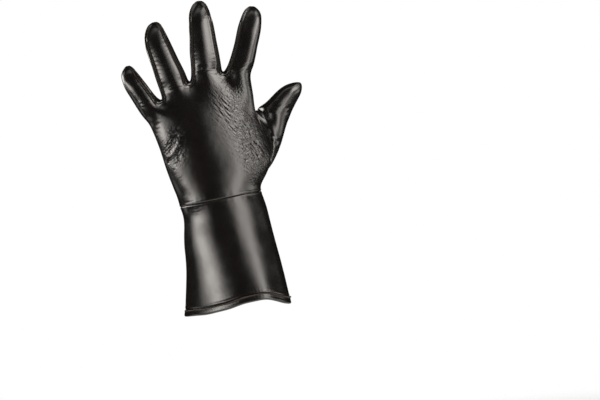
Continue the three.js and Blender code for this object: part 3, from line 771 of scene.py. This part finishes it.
def cut_corners(quads, own_edges, sewn):
    """Numbers the corners of a piece's faces, alike where faces meet and apart along a sewn line."""
    order = np.argsort(own_edges.ravel(), kind="stable")
    numbers = own_edges.ravel()[order]
    first = order[:-1][numbers[:-1] == numbers[1:]]
    second = order[1:][numbers[:-1] == numbers[1:]]
    joined = ~sewn[own_edges.ravel()[first]]
    first, second = first[joined], second[joined]

    def next_corner(corner):
        return corner // 4 * 4 + (corner + 1) % 4

    # The edge that leaves one corner comes back to the next, so it joins two pairs of corners.
    pairs = np.stack(
        [np.concatenate([first, next_corner(first)]), np.concatenate([next_corner(second), second])], axis=1
    )
    group = np.arange(quads.size)
    for _ in range(quads.size):
        lowest = np.minimum(group[pairs[:, 0]], group[pairs[:, 1]])
        before = group.copy()
        np.minimum.at(group, pairs[:, 0], lowest)
        np.minimum.at(group, pairs[:, 1], lowest)
        if np.array_equal(before, group):
            break
    kept, corner = np.unique(group, return_inverse=True)
    return quads.ravel()[kept], corner.reshape(quads.shape)


def leather_piece(name, skin, outside, inside, facing, marks):
    """One piece of leather as a closed shell: fine outside, half as fine inside, and its cut edges."""
    mine = skin.piece == name
    own_edges = skin.edge_of[mine]
    sewn = np.zeros(len(skin.edges), dtype=bool)
    sewn[skin.edge_numbers(skin.lines["side"])] = True
    source, corners = cut_corners(skin.quads[mine], own_edges, sewn)
    once = np.bincount(own_edges.ravel(), minlength=len(skin.edges)) == 1
    is_border = (once | sewn)[own_edges]

    # The cut edge lies half a seam's gap inside the line of the seam.
    face, k = np.nonzero(is_border)
    a, b = corners[face, k], corners[face, (k + 1) % 4]
    along = outside[source[b]] - outside[source[a]]
    inward = np.cross(facing[source[a]] + facing[source[b]], along)
    inward /= np.linalg.norm(inward, axis=1, keepdims=True)
    drawn = gathered(np.concatenate([a, b]), np.concatenate([inward, inward]), len(source))
    length = np.linalg.norm(drawn, axis=1, keepdims=True)
    drawn *= SEAM_GAP / np.maximum(length**2, TINY)
    outer = outside[source] + drawn

    # The inside takes every other point. Each face of it lies under four faces of the outside.
    coarse = corners.reshape(-1, 4, 4)[:, :, 0]
    kept, lower = np.unique(coarse, return_inverse=True)
    lower = lower.reshape(coarse.shape) + len(source)
    inner = inside[source[kept]] + drawn[kept]

    fine = corners.reshape(-1, 4, 4)
    edge_here = is_border.reshape(-1, 4, 4)[:, :, 0]
    rims = []
    for parent, side in zip(*np.nonzero(edge_here)):
        after = (side + 1) % 4
        start, middle = fine[parent, side, 0], fine[parent, side, 1]
        rims.append([fine[parent, after, 0], middle, start, lower[parent, side], lower[parent, after]])
    faces = [*corners.tolist(), *lower[:, ::-1].tolist(), *(list(map(int, rim)) for rim in rims)]
    mesh = bpy.data.meshes.new(name)
    mesh.from_pydata((np.concatenate([outer, inner]) * MM).tolist(), [], faces)
    number = np.zeros(len(faces), dtype=np.int32)
    number[len(corners) : len(corners) + len(lower)] = 1
    mesh.polygons.foreach_set("material_index", number)
    colours = np.zeros((len(outer) + len(inner), 4), dtype=np.float32)
    colours[: len(outer)] = marks[source]
    mesh.color_attributes.new("marks", "FLOAT_COLOR", "POINT").data.foreach_set("color", colours.ravel())
    return finished(name, mesh)


def in_scene(name, data):
    made = bpy.data.objects.new(name, data)
    bpy.context.scene.collection.objects.link(made)
    return made


SHARP_ANGLE = math.radians(50)


def finished(name, mesh):
    """Shades a mesh smooth, apart from its sharp edges, and puts it in the scene."""
    mesh.polygons.foreach_set("use_smooth", np.ones(len(mesh.polygons), dtype=bool))
    mesh.update()
    mesh.set_sharp_from_angle(angle=SHARP_ANGLE)
    return in_scene(name, mesh)


# The rows of stitches: spacing and length of the stitches, thickness of the thread, how deep they lie
# and whether they cross the seam, as between two edges, or follow it, as on the hem.
STITCHES = table(
    "seam every length thread lift crossing",
    ("wrist", 3.0, 0.9, 0.3, -0.75, True),
    ("thumb", 3.1, 0.9, 0.3, -0.55, True),
    *((name, 2.6, 0.8, 0.26, -0.75, True) for name in FOURCHETTES),
    ("side", 2.8, 0.9, 0.28, -0.6, True),
    ("hem", 3.3, 2.3, 0.3, -0.85, False),
)
STITCH_RINGS = ((-1.0, 0.3), (-0.82, 0.85), (-0.3, 1.0), (0.3, 1.0), (0.82, 0.85), (1.0, 0.3))
STITCH_SIDES = 7
STITCH_DIP = 0.5  # how far a stitch's ends go down into the leather


def stitch_row(row, chains, points, facing):
    """A row of short threads along a seam, each thicker in its middle and dipping at its ends."""
    seam = row["seam"]
    line, normals = points[chains[seam]], facing[chains[seam]]
    along = arc_lengths(line)
    count = int(along[-1] // row["every"])
    at = (np.arange(count) + 0.5) * along[-1] / count

    def on_line(values):
        return np.stack([np.interp(at, along, column) for column in values.T], axis=1)

    def unit(values):
        return values / np.linalg.norm(values, axis=1, keepdims=True)

    up = unit(on_line(normals))
    forward = unit(on_line(np.gradient(line, axis=0)))
    sideways = unit(np.cross(up, forward))
    way, beside = (sideways, forward) if row["crossing"] else (forward, sideways)
    middle = on_line(line) + up * row["lift"]
    rings = []
    for place, thick in STITCH_RINGS:
        centre = middle + way * place * row["length"] / 2 - up * STITCH_DIP * place**2
        for side in range(STITCH_SIDES):
            turn = 2 * math.pi * side / STITCH_SIDES
            radius = row["thread"] / 2 * thick
            rings.append(centre + radius * (beside * math.cos(turn) + up * math.sin(turn)))
    vertices = np.stack(rings, axis=1).reshape(-1, 3)
    last = len(STITCH_RINGS) - 1
    faces = []
    for stitch in range(count):
        base = stitch * len(rings)
        for ring in range(last):
            for side in range(STITCH_SIDES):
                after = (side + 1) % STITCH_SIDES
                low = base + ring * STITCH_SIDES
                high = low + STITCH_SIDES
                faces.append([low + side, low + after, high + after, high + side])
        faces.append([base + side for side in reversed(range(STITCH_SIDES))])
        faces.append([base + last * STITCH_SIDES + side for side in range(STITCH_SIDES)])
    mesh = bpy.data.meshes.new("thread_" + seam)
    mesh.from_pydata((vertices * MM).tolist(), [], faces)
    return finished("thread_" + seam, mesh)


def linear(colour):
    """An sRGB hex colour as the linear values that a shader takes."""
    values = [int(colour[i : i + 2], 16) / 255 for i in (1, 3, 5)]
    return (*(v / 12.92 if v <= 0.04045 else ((v + 0.055) / 1.055) ** 2.4 for v in values), 1.0)


def add_node(tree, kind, links=None, values=None, **settings):
    """Adds a node with its settings, its sockets' values and the outputs that its sockets take."""
    made = tree.nodes.new(kind)
    for name, value in settings.items():
        setattr(made, name, value)
    for socket, value in (values or {}).items():
        made.inputs[socket].default_value = value
    for socket, output in (links or {}).items():
        tree.links.new(output, made.inputs[socket])
    return made


def new_material(name):
    material = bpy.data.materials.new(name)
    material.use_nodes = True
    material.node_tree.nodes.clear()
    return material, material.node_tree


def give_surface(tree, height, bump, links, finish):
    """Ends a material with its relief, and with a shader that takes its looks from links and values."""
    relief = add_node(tree, "ShaderNodeBump", {"Height": height}, bump)
    links = {**links, "Normal": relief.outputs["Normal"]}
    shader = add_node(tree, "ShaderNodeBsdfPrincipled", links, finish)
    add_node(tree, "ShaderNodeOutputMaterial", {"Surface": shader.outputs["BSDF"]})


GRAIN_SIZE = 1.7  # a guess: real pebbles are finer, and are drawn coarser to show
GRAIN_DEPTH = (0.02, 0.7)  # where the leather is plain, and where it is most pebbled
# Size of the cells between the wrinkles. On the right of the back they come out nearly 4 mm apart on
# average, where the photograph has 3 to 5 mm, and on the left nearly 6 mm, where it has 4.5 mm.
WRINKLE_EVERY = 2.1
WRINKLE_LENGTH = 3.6  # how many times longer than wide the cells between the wrinkles are
WRINKLE_DEPTH = 1.1
WRINKLE_TURNS = {"falling": -52, "rising": 40}
GLAZE_PATCH = 14.0  # the finish is thicker and thinner in patches of this size
GLAZE_DEPTH = 0.1


def glazed_leather():
    """Lamb leather with a glazed black finish: a deep warm black, with soft highlights in which the skin's
    pebbled grain and its fine crossing wrinkles show, and a little browner where its seams are rubbed."""
    material, tree = new_material("glazed_lamb_leather")
    place = add_node(tree, "ShaderNodeTexCoord").outputs["Object"]
    marks = add_node(tree, "ShaderNodeAttribute", attribute_name="marks").outputs
    channels = add_node(tree, "ShaderNodeSeparateColor", {"Color": marks["Color"]}).outputs
    patches = dict(zip(PATCH_KINDS, (channels[colour] for colour in ("Red", "Green", "Blue"))))

    def cells(size, vector):
        cell = {"Scale": 1 / (size * MM), "Smoothness": 0.4}
        pattern = add_node(tree, "ShaderNodeTexVoronoi", {"Vector": vector}, cell, feature="SMOOTH_F1")
        return pattern.outputs["Distance"]

    def lowered(height, pattern, share):
        deeper = add_node(tree, "ShaderNodeMath", {0: pattern, 1: share}, operation="MULTIPLY").outputs[0]
        return add_node(tree, "ShaderNodeMath", {0: height, 1: deeper}, operation="SUBTRACT").outputs[0]

    def spread(value, low, high, from_low=0.0, from_high=1.0):
        ends = {"From Min": from_low, "From Max": from_high, "To Min": low, "To Max": high}
        return add_node(tree, "ShaderNodeMapRange", {"Value": value}, ends).outputs["Result"]

    cloudy = {"Scale": 1 / (GLAZE_PATCH * MM), "Detail": 3.0, "Roughness": 0.55}
    patchy = add_node(tree, "ShaderNodeTexNoise", {"Vector": place}, cloudy).outputs["Fac"]
    height = spread(patchy, 0.0, GLAZE_DEPTH)
    height = lowered(height, cells(GRAIN_SIZE, place), spread(patches["pebbled"], *GRAIN_DEPTH))
    for kind, degrees in WRINKLE_TURNS.items():
        turn = {"Rotation": (0, math.radians(degrees), 0)}
        turned = add_node(tree, "ShaderNodeMapping", {"Vector": place}, turn).outputs["Vector"]
        longer = {"Scale": (1 / WRINKLE_LENGTH, 1 / WRINKLE_LENGTH, 1.0)}
        drawn_out = add_node(tree, "ShaderNodeMapping", {"Vector": turned}, longer).outputs["Vector"]
        height = lowered(height, cells(WRINKLE_EVERY, drawn_out), spread(patches[kind], 0, WRINKLE_DEPTH))

    blacks = {"Color1": linear("#181615"), "Color2": linear("#1d1a18")}
    black = add_node(tree, "ShaderNodeMixRGB", {"Fac": patchy}, blacks).outputs["Color"]
    where_rubbed = {"Fac": marks["Alpha"], "Color1": black}
    colour = add_node(tree, "ShaderNodeMixRGB", where_rubbed, {"Color2": linear("#48423d")}).outputs["Color"]
    roughness = spread(patchy, 0.17, 0.25, from_low=0.3, from_high=0.75)
    links = {"Base Color": colour, "Roughness": roughness}
    # A plain glaze has an IOR of about 1.5. With 2.0 it takes only moderate lights to give the highlights
    # of the photograph, and with such lights the glove's rims don't turn white from the side.
    give_surface(tree, height, {"Strength": 1.0, "Distance": MM}, links, {"IOR": 2.0})
    return material


def mottled(name, pattern, shades, bump, finish):
    """A material whose two shades and fine relief follow one pattern of noise."""
    material, tree = new_material(name)
    place = add_node(tree, "ShaderNodeTexCoord").outputs["Object"]
    noisy = add_node(tree, "ShaderNodeTexNoise", {"Vector": place}, pattern).outputs["Fac"]
    ends = {"Color1": linear(shades[0]), "Color2": linear(shades[1])}
    colour = add_node(tree, "ShaderNodeMixRGB", {"Fac": noisy}, ends).outputs["Color"]
    give_surface(tree, noisy, bump, {"Base Color": colour}, finish)
    return material


NAP_SIZE = 1.2  # a guess: a real nap is finer, and is drawn coarser to show
TWIST_SIZE = 0.35  # a guess, for turns about as long as the thread is thick


def suede_inside():
    """The leather's flesh side, buffed but not dyed through: a dull, short nap in dark grey brown."""
    return mottled(
        "buffed_flesh_side",
        pattern={"Scale": 1 / (NAP_SIZE * MM), "Detail": 4.0, "Roughness": 0.6},
        shades=("#332e2a", "#544c45"),
        bump={"Strength": 0.6, "Distance": 0.3 * MM},
        finish={"Roughness": 0.92, "IOR": 1.45, "Sheen Weight": 0.25, "Sheen Roughness": 0.5},
    )


def waxed_thread():
    """Twisted polyester sewing thread, waxed: near black, with a small soft glint on each stitch."""
    return mottled(
        "waxed_polyester_thread",
        pattern={"Scale": 1 / (TWIST_SIZE * MM), "Detail": 1.0},
        shades=("#0b0a0a", "#171513"),
        bump={"Strength": 0.5, "Distance": 0.1 * MM},
        finish={"Roughness": 0.48, "IOR": 1.5},
    )


def dress(made, materials):
    """Gives a piece its materials and the body that it rides on."""
    for material in materials:
        made.data.materials.append(material)
    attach(made, "root")


# Camera: it looks at the back of the hand, level and turned about its own axis.
PHOTO_SIZE = (600, 400)
PIXEL = 1.03  # millimetres of the glove that one pixel of the photograph shows
CAMERA_ROLL = math.radians(8)
CAMERA_FAR = 2575.0
PHOTO_MIDDLE = (80.2, 0.0, -12.3)  # what the camera points at, beside the glove
LENS = 150.0
SENSOR = PHOTO_SIZE[0] * PIXEL * LENS / CAMERA_FAR


def photo_camera():
    right = Vector((math.cos(CAMERA_ROLL), 0, -math.sin(CAMERA_ROLL)))
    back = Vector((0, -1, 0))
    turned = Matrix((right, back.cross(right), back)).transposed().to_4x4()
    data = bpy.data.cameras.new("photo_camera")
    data.lens = LENS
    data.sensor_width = SENSOR
    data.clip_end = 20
    camera = in_scene("photo_camera", data)
    camera.matrix_world = Matrix.Translation((Vector(PHOTO_MIDDLE) + back * CAMERA_FAR) * MM) @ turned
    bpy.context.scene.camera = camera


# Soft boxes that stand upright round the glove and face it. Ways are seen from above, 0 in front of the
# back of the hand and 90 on the thumb side. low and high: heights of the lower and upper edge.
LIGHTS = table(
    "name first_way last_way low high far brightness",
    ("thumb_side_box", 10, 60, -240.0, 198.0, 400.0, 2.25),
    ("thumb_side_wide_box", 44, 108, -350.0, 200.0, 1200.0, 1.5),
    ("thumb_side_finger_box", 12, 94, 165.0, 425.0, 400.0, 3.6),
    ("thumb_side_tip_box", 20, 110, 440.0, 800.0, 400.0, 1.7),
    ("little_side_box", -88, -26, -110.0, 240.0, 1200.0, 4.1),
    ("little_side_finger_box", -138, -60, 70.0, 330.0, 400.0, 6.0),
    ("little_side_high_box", -120, -74, 420.0, 1400.0, 1200.0, 0.8),
    ("little_side_edge_box", -116, -80, -600.0, -200.0, 1200.0, 0.8),
    ("fingertip_box", -60, 60, 480.0, 1300.0, 300.0, 0.5),
    ("palm_box", 166, 194, -300.0, 900.0, 1200.0, 1.2),
)
WARM_WHITE = "#fffaf4"
# Each box is a few boxes, one just in front of the other, so that it grows dim towards its edges.
GRADES = table(
    "size share nearer",
    (1.0, 0.07, 0),
    (0.8, 0.13, 4),
    (0.6, 0.2, 8),
    (0.42, 0.27, 12),
    (0.24, 0.33, 16),
)
SHORTENED = 0.35  # how much of the shrinking of a grade's width its length takes part in


def soft_box(light, grade):
    """One grade of a soft box, which faces the glove."""
    way = math.radians((light["first_way"] + light["last_way"]) / 2)
    half = math.radians((light["last_way"] - light["first_way"]) / 2)
    outward = Vector((math.sin(way), -math.cos(way), 0.0))
    width = 2 * light["far"] * math.tan(half) * grade["size"] * MM
    length = (light["high"] - light["low"]) * mix(1, grade["size"], SHORTENED) * MM
    data = bpy.data.lights.new(light["name"], "AREA")
    data.color = linear(WARM_WHITE)[:3]
    data.shape = "RECTANGLE"
    data.size = width
    data.size_y = length
    data.energy = light["brightness"] * grade["share"] * math.pi * width * length
    made = in_scene(light["name"], data)
    middle = Vector((0, 0, (light["low"] + light["high"]) / 2))
    made.location = (outward * (light["far"] - grade["nearer"]) + middle) * MM
    made.rotation_euler = outward.to_track_quat("Z", "Y").to_euler()
    made.visible_camera = False


def white_studio():
    """White where the camera looks past the glove, and dim all round it, which keeps its rims dark."""
    world = bpy.data.worlds.new("studio")
    world.use_nodes = True
    tree = world.node_tree
    tree.nodes.clear()
    seen = add_node(tree, "ShaderNodeLightPath").outputs["Is Camera Ray"]
    dim = add_node(tree, "ShaderNodeBackground", values={"Color": linear(WARM_WHITE), "Strength": 0.008})
    white = add_node(tree, "ShaderNodeBackground", values={"Color": (1, 1, 1, 1), "Strength": 1.0})
    both = add_node(tree, "ShaderNodeMixShader", {0: seen, 1: dim.outputs[0], 2: white.outputs[0]})
    add_node(tree, "ShaderNodeOutputWorld", {"Surface": both.outputs[0]})
    bpy.context.scene.world = world


FLOOR_DROP = 180.0  # the glove is held up this far over the floor
FLOOR_REACH = 700.0
FLOOR_PLAIN = 0.35  # the share of its reach within which it doesn't fade
FLOOR_SIDES = 96
FLOOR_PALE = "#f4f2ef"


def pale_floor():
    """A round pale floor that fades into the white around it."""
    low = solid_box[0][2] / MM - FLOOR_DROP
    turns = [2 * math.pi * i / FLOOR_SIDES for i in range(FLOOR_SIDES)]
    mesh = bpy.data.meshes.new("floor")
    rim = [(FLOOR_REACH * MM * math.cos(t), FLOOR_REACH * MM * math.sin(t), low * MM) for t in turns]
    mesh.from_pydata(rim, [], [list(range(FLOOR_SIDES))])
    floor = in_scene("floor", mesh)
    material, tree = new_material("pale_matte_paint")
    place = add_node(tree, "ShaderNodeTexCoord").outputs["Object"]
    flat = add_node(tree, "ShaderNodeVectorMath", {0: place}, {1: (1, 1, 0)}, operation="MULTIPLY")
    away = add_node(tree, "ShaderNodeVectorMath", {0: flat.outputs[0]}, operation="LENGTH")
    faded = add_node(
        tree,
        "ShaderNodeMapRange",
        {"Value": away.outputs["Value"]},
        {"From Min": FLOOR_PLAIN * FLOOR_REACH * MM, "From Max": FLOOR_REACH * MM},
        interpolation_type="SMOOTHSTEP",
    )
    pale = linear(FLOOR_PALE)
    paint = {"Base Color": pale, "Roughness": 1.0, "Emission Color": pale, "Emission Strength": 0.4}
    matte = add_node(tree, "ShaderNodeBsdfPrincipled", values=paint)
    clear = add_node(tree, "ShaderNodeBsdfTransparent")
    mixed = add_node(
        tree, "ShaderNodeMixShader", {0: faded.outputs["Result"], 1: matte.outputs[0], 2: clear.outputs[0]}
    )
    add_node(tree, "ShaderNodeOutputMaterial", {"Surface": mixed.outputs[0]})
    mesh.materials.append(material)


skin = fine_skin()
smooth = skin.values[:, :3]
facing = facing_of(smooth, skin.quads)
folded = smooth - facing * fold_depth(smooth, facing)[:, None]
facing = facing_of(folded, skin.quads)
seam_chains = seam_rows(skin)
seam_lift, rubbed = seam_relief(folded, seam_chains)
relief = seam_lift + crease_relief(folded, facing) + pleat_relief(folded, facing) + soft_waves(folded)
outside = folded + facing * relief[:, None]
inside = folded - facing * skin.values[:, 3:]
marks = np.concatenate([patch_shares(folded, facing), rubbed[:, None]], axis=1)

leather = [glazed_leather(), suede_inside()]
thread = [waxed_thread()]
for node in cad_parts:
    made = leather_piece(node, skin, outside, inside, facing, marks)
    made.name = "leather_" + node
    dress(made, leather)
    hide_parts(node)

for row in STITCHES:
    dress(stitch_row(row, seam_chains, outside, facing), thread)

photo_camera()
for light in LIGHTS:
    for grade in GRADES:
        soft_box(light, grade)
white_studio()
pale_floor()
bpy.context.scene.view_settings.view_transform = "Standard"
